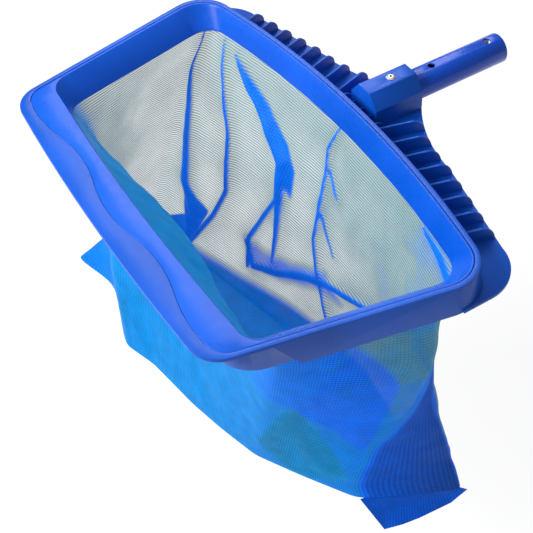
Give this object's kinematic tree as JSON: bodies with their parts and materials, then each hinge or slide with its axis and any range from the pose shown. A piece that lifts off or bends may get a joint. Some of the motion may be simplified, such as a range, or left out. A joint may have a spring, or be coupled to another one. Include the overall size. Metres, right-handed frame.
{
  "type": "leaf skimmer net",
  "caption": "Leaf rake head for a pool pole: moulded scoop frame with a wavy-seamed retaining ring, ribbed back flange, riveted pole spigot and a deep hanging mesh bag.",
  "frame": {"origin": "centre of the spigot's open end, on the spigot's axis", "axes": "+X runs along the spigot out of its open end towards the pole, +Y sideways along the rim, +Z square to the rim and out of the net's mouth"},
  "size_m": [0.4214, 0.4576, 0.2972],
  "materials": {
    "frame_plastic": "satin moulded blue plastic",
    "ring_plastic": "satin moulded blue plastic",
    "spigot_coat": "smooth blue coating",
    "rivet_aluminium": "plain",
    "mandrel_steel": "plain",
    "hem_webbing": "woven tape",
    "net_mesh": "fine knitted mesh"
  },
  "bodies": {
    "root": {"outer_frame": "frame_plastic", "retaining_ring": "ring_plastic", "spigot_tube": "spigot_coat", "rivet_body": "rivet_aluminium", "rivet_mandrel": "mandrel_steel", "mouth_hem": "hem_webbing", "front_panel": "net_mesh", "back_panel": "net_mesh", "left_side_panel": "net_mesh", "right_side_panel": "net_mesh", "bottom_panel": "net_mesh"}
  },
  "joints": []
}
